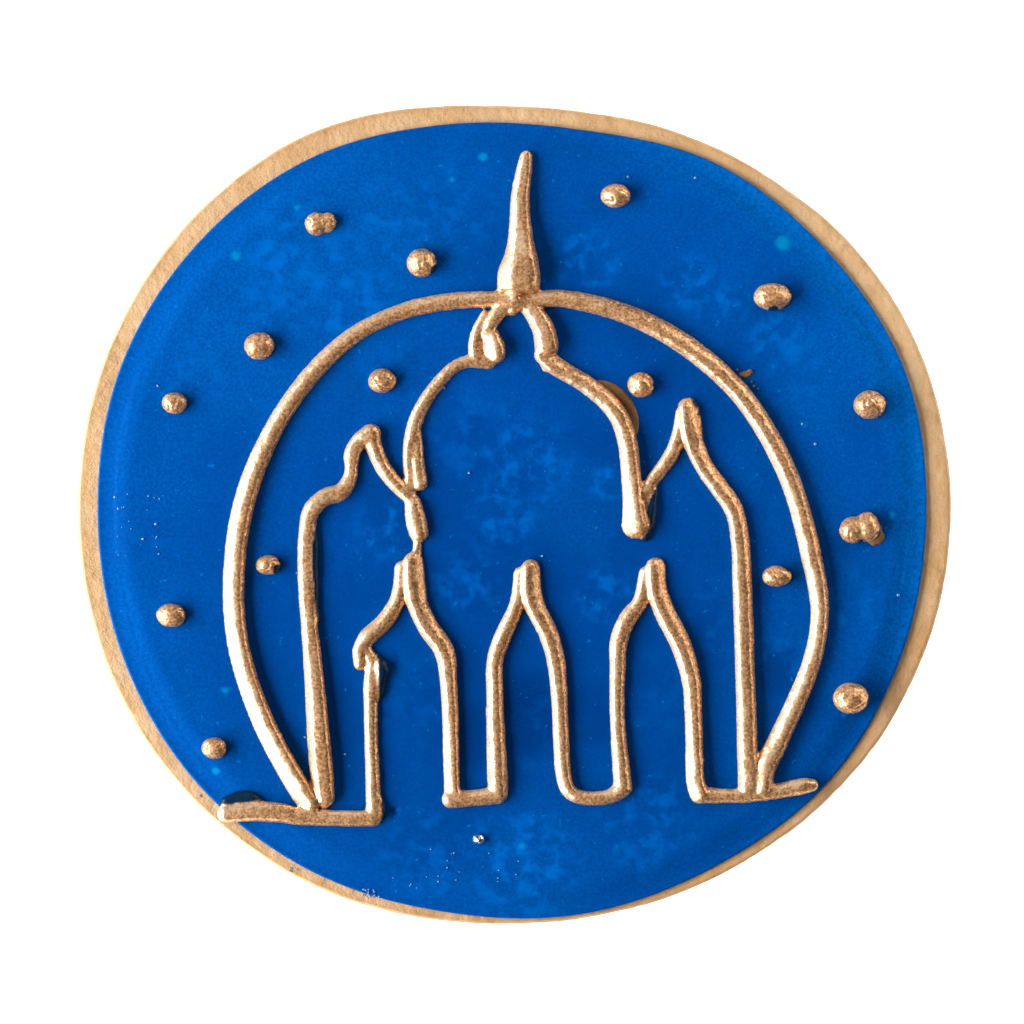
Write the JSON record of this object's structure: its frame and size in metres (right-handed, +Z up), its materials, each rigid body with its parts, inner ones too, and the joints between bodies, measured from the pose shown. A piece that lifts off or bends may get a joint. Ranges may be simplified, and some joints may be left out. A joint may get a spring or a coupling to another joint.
{
  "type": "iced butter cookie",
  "caption": "Round cutter-baked butter cookie with a smooth flood of blue icing, piped in metallic line with a domed building under an arch, with raised dots as stars",
  "frame": {"origin": "centre of the underside, where the cookie rests", "axes": "+Z up out of the iced face, +Y towards the top of the piped picture, +X to its right, along the slightly longer width"},
  "size_m": [0.0875, 0.0821, 0.0089],
  "materials": {
    "cookie": "matt baked crumb",
    "icing": "satin dried icing",
    "gold_paint": "brushed-on metallic paint",
    "sugar_ball": "silvered sugar"
  },
  "bodies": {
    "root": {"cookie": "cookie", "icing": "icing"}
  },
  "joints": []
}
